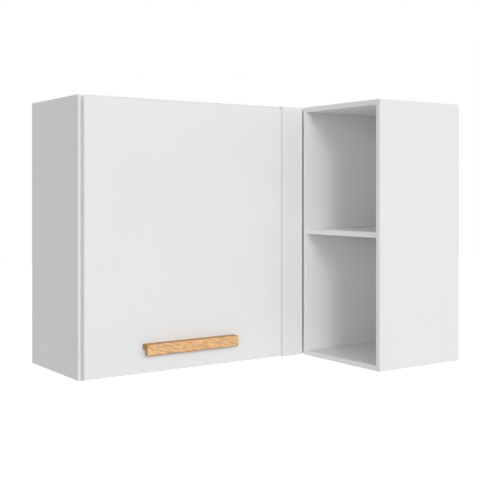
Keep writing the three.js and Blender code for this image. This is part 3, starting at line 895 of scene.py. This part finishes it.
def modelArm(footX, screwY):
    # a strip is drawn out along the goose neck, rounded at its bends and then given its thickness
    size = hingeSettings
    half = size["armWidth"] / 2
    clearSelection()
    bpy.ops.mesh.primitive_plane_add(size=1, location=(0, 0, 0), rotation=(math.pi / 2, 0, 0))
    arm = bpy.context.object
    arm.name = "armPattern"
    arm.scale = (size["armReach"], size["armWidth"], 1)
    arm.location = (size["armReach"] / 2, 0, 0)
    applyPlace(arm)
    steps = [
        (0, size["armNeck"], 0),
        (footX - size["armReach"], size["armSlope"], 0),
        (0, size["armFoot"], 0),
    ]
    end = Vector((size["armReach"], 0, 0))
    for step in steps:
        selectEdges(arm, lambda c, n: (c - end).length < near)
        bpy.ops.mesh.extrude_region_move(TRANSFORM_OT_translate={"value": step})
        leaveEdit()
        end = end + Vector(step)
    selectEdges(arm, lambda c, n: len(n) == 2 and abs(c.z) < near)
    bevelSelected(size["armBend"], segments=5)
    applyModifier(arm, "SOLIDIFY", "sheet", thickness=size["armThickness"], offset=0, use_even_offset=True)
    makeActive(arm)
    bpy.ops.object.mode_set(mode="EDIT")
    bpy.ops.mesh.select_all(action="SELECT")
    bpy.ops.mesh.normals_make_consistent(inside=False)
    leaveEdit()
    softenEdges(arm, size["arris"])
    combine(arm, addRound("knuckle", "z", size["knuckle"], -half, half, (0, 0), sides=32), "UNION")
    cutAway(arm, [
        hingeBore("z", size["pinHole"], -half - past, half + past),
        hingeBore("x", size["screwHole"], footX - 2 * past, footX + 2 * past, (screwY, 0)),
    ])
    smoothByAngle(arm)
    arm.data.materials.append(nickel)
    return arm


def modelPlate(low, high, armScrewY):
    # low and high are the corners of the plate's own box
    size = hingeSettings
    middle, half = (low.y + high.y) / 2, size["plateHalfWidth"]
    plate = addBlock("platePattern", (low.x, low.y, -half), (high.x, high.y, half))
    selectEdges(plate, clearOf("-x"))
    bevelSelected(size["plateCorner"], segments=3)
    earTop = low.x + size["ear"]
    ears = addBlock(
        "plateEars",
        (low.x, middle - size["earHalfWidth"], -size["earHalfLength"]),
        (earTop, middle + size["earHalfWidth"], size["earHalfLength"]),
    )
    selectEdges(ears, clearOf("+x", "-x"))
    bevelSelected(size["earCorner"], segments=8)
    softenEdges(ears, size["arris"])
    combine(plate, ears, "UNION")
    for z in (-size["earScrewHalf"], size["earScrewHalf"]):
        cutAway(plate, [hingeBore("x", size["screwHole"], low.x - past, earTop + past, (middle, z))])
    armBoreStart = high.x - size["armBoreDepth"]
    cutAway(plate, [hingeBore("x", size["screwHole"], armBoreStart, high.x + past, (armScrewY, 0))])
    smoothByAngle(plate)
    plate.data.materials.append(nickel)
    return plate


def modelPin():
    low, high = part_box("hinge_lower_pin")
    half = (high.z - low.z) / 2
    pin = addRound("pinPattern", "z", (high.x - low.x) / 2, -half, half, (0, 0), sides=32)
    selectFaces(pin, looking("+z", "-z"))
    bevelSelected(hingeSettings["pinRound"], segments=3)
    smoothByAngle(pin)
    pin.data.materials.append(steel)
    return pin


def buildHinges():
    pinPlace = boxCentre("hinge_lower_pin")
    plateLow, plateHigh = (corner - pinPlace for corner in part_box("hinge_lower_plate"))
    armScrew = boxCentre("hinge_lower_arm_screw") - pinPlace
    footX = plateHigh.x + hingeSettings["armThickness"] / 2
    patterns = {
        "cup": (modelCup(), "door"),
        "arm": (modelArm(footX, armScrew.y), "cabinet"),
        "plate": (modelPlate(plateLow, plateHigh, armScrew.y), "cabinet"),
        "pin": (modelPin(), "door"),
    }
    for hinge in hinges:
        for part, (pattern, body) in patterns.items():
            node = f"hinge_{hinge}_{part}"
            piece = placeCopy(pattern, node + "_dressed", boxCentre(f"hinge_{hinge}_pin"))
            settle(piece, body, node)
    for pattern, body in patterns.values():
        bpy.data.objects.remove(pattern)


buildHinges()
print("hinges made")

# shelf pegs, bumpers and dowels

pegSettings = {
    "radius": 2.5 * mm, "depth": 8 * mm, "tipRound": 0.6 * mm,
    "tab": 8 * mm, "tabThickness": 4 * mm, "tabCorner": 2.5 * mm, "tabArris": 0.3 * mm,
    "fit": 0.3 * mm,        # from the board to the tab
}


def modelPeg():
    # the pin runs to -X into the board, and the tab stands out to +X
    size = pegSettings
    half, radius = size["tab"] / 2, size["radius"]
    peg = addRound("pegPattern", "x", radius, -size["depth"], half, (0, 0), sides=32)
    selectFaces(peg, looking("-x"))
    bevelSelected(size["tipRound"], segments=3)
    tabLow = (size["fit"], -half, radius - size["tabThickness"])
    tab = addBlock("pegTab", tabLow, (size["tab"], half, radius))
    selectEdges(tab, clearOf("-x", "+z", "-z"))
    bevelSelected(size["tabCorner"], segments=6)
    softenEdges(tab, size["tabArris"])
    combine(peg, tab, "UNION")
    smoothByAngle(peg)
    peg.data.materials.append(steel)
    return peg


def buildPegs():
    pattern = modelPeg()
    for side, turn in (("left", 0), ("right", math.pi)):
        for place in ("front", "back"):
            node = f"shelf_peg_{side}_{place}"
            low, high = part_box(node)
            faceX = low.x + pegSettings["depth"] if side == "left" else high.x - pegSettings["depth"]
            centre = (faceX, (low.y + high.y) / 2, high.z - pegSettings["radius"])
            peg = placeCopy(pattern, node + "_dressed", centre, (0, 0, turn))
            settle(peg, "cabinet", node)
    bpy.data.objects.remove(pattern)


bumperSettings = {"dome": 0.75}     # of a bumper's thickness is rounded over


def modelBumper(radius, half):
    bumper = addRound("bumperPattern", "y", radius, -half, half, (0, 0), sides=40)
    selectFaces(bumper, looking("+y"))
    bevelSelected(2 * half * bumperSettings["dome"], segments=6, profile=0.55)
    smoothByAngle(bumper)
    bumper.data.materials.append(padding)
    return bumper


def buildBumpers():
    low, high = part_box("door_bumper_lower")
    pattern = modelBumper((high.x - low.x) / 2, (high.y - low.y) / 2)
    for place in ("lower", "upper"):
        node = f"door_bumper_{place}"
        bumper = placeCopy(pattern, node + "_pad", boxCentre(node))
        settle(bumper, "door", node)
    bpy.data.objects.remove(pattern)


dowelSettings = {"flutes": 16, "chamfer": 0.8 * mm, "fluteInset": 0.1 * mm, "fluteDepth": 0.3 * mm}


def modelDowel(radius, half):
    # every third face of the wall is sunk as a flute
    size = dowelSettings
    dowel = addRound("dowelPattern", "y", radius, -half, half, (0, 0), sides=size["flutes"] * 3)
    selectFaces(dowel, looking("+y", "-y"))
    bevelSelected(size["chamfer"], segments=2)
    step = 2 * math.pi / size["flutes"]

    def inFlute(centre, normal):
        onWall = not looksAlong(normal, "+y", "-y", share=0.1)
        return onWall and math.atan2(centre.z, centre.x) % step < step / 3

    selectFaces(dowel, inFlute)
    bpy.ops.mesh.inset(thickness=size["fluteInset"], depth=-size["fluteDepth"], use_individual=True)
    leaveEdit()
    smoothByAngle(dowel)
    dowel.data.materials.append(beech)
    return dowel


def buildDowels():
    low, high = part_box(wingDowels[0])
    pattern = modelDowel((high.x - low.x) / 2, (high.y - low.y) / 2)
    for node in wingDowels:
        dowel = placeCopy(pattern, node + "_fluted", boxCentre(node))
        settle(dowel, "cabinet", node)
    bpy.data.objects.remove(pattern)


buildPegs()
buildBumpers()
buildDowels()
print("pegs, bumpers and dowels made")

# floor and light

floorSettings = {
    "drop": 1.45,           # metres from the cabinet's underside
    "lift": 0.75,           # what the camera and the metal see added to the floor's own tone
    "size": 40, "tone": (0.8, 0.8, 0.8, 1), "roughness": 0.9,
}
lampSettings = {
    # how far each lamp stands to the left of the main front and above it, in degrees,
    # how wide it looks from the cabinet, and its strength
    "keyLamp": (18, 21, 17, 0.81),
    "leftFill": (47, 5, 30, 0.47),
    "lowFill": (0, 5, 24, 0.39),
    "rightFill": (-15, 18, 24, 0.24),
    "sideLamp": (-76, 5, 24, 0.30),
    "backLamp": (-155, 30, 30, 0.8),
}
studioSettings = {"ambient": 0.29, "seen": 1, "tone": (1, 1, 1, 1)}     # light shed, and light seen


def seenDirectly(nodes, links):
    # 1 where the camera, a gloss or something clear sees the surface, and 0 for the light it sheds
    path = nodes.new("ShaderNodeLightPath")
    found = path.outputs["Is Camera Ray"]
    for ray in ("Is Glossy Ray", "Is Transmission Ray"):
        seen = nodes.new("ShaderNodeMath")
        seen.operation = "MAXIMUM"
        links.new(found, seen.inputs[0])
        links.new(path.outputs[ray], seen.inputs[1])
        found = seen.outputs["Value"]
    return found


def addFloor(settings):
    clearSelection()
    z = cadBounds[0][2] - settings["drop"]
    bpy.ops.mesh.primitive_plane_add(size=settings["size"], location=(0, 0, z))
    floor = bpy.context.object
    floor.name = "paleFloor"
    look = Look("paleFloor")
    look.give("Base Color", settings["tone"])
    look.give("Roughness", settings["roughness"])
    look.give("Emission Color", (1, 1, 1, 1))
    lift = look.add("ShaderNodeMath", operation="MULTIPLY")
    lift.inputs[1].default_value = settings["lift"]
    look.links.new(seenDirectly(look.nodes, look.links), lift.inputs[0])
    look.join(lift, "Value", look.shader, "Emission Strength")
    floor.data.materials.append(look.material)


def addLamps(settings):
    for name, (turn, height, width, strength) in settings.items():
        lamp = bpy.data.lights.new(name, "SUN")
        lamp.energy = strength
        lamp.angle = math.radians(width)
        stand = bpy.data.objects.new(name, lamp)
        stand.rotation_euler = (math.radians(90 - height), 0, math.radians(-turn))
        bpy.context.scene.collection.objects.link(stand)


def addStudio(settings):
    world = bpy.data.worlds.new("paleStudio")
    bpy.context.scene.world = world
    world.use_nodes = True
    nodes, links = world.node_tree.nodes, world.node_tree.links
    back = nodes["Background"]
    back.inputs["Color"].default_value = settings["tone"]
    strength = nodes.new("ShaderNodeMapRange")
    strength.inputs["To Min"].default_value = settings["ambient"]
    strength.inputs["To Max"].default_value = settings["seen"]
    links.new(seenDirectly(nodes, links), strength.inputs["Value"])
    links.new(strength.outputs["Result"], back.inputs["Strength"])


addFloor(floorSettings)
addLamps(lampSettings)
addStudio(studioSettings)
bpy.context.scene.view_settings.view_transform = "Standard"

print("light and floor set")
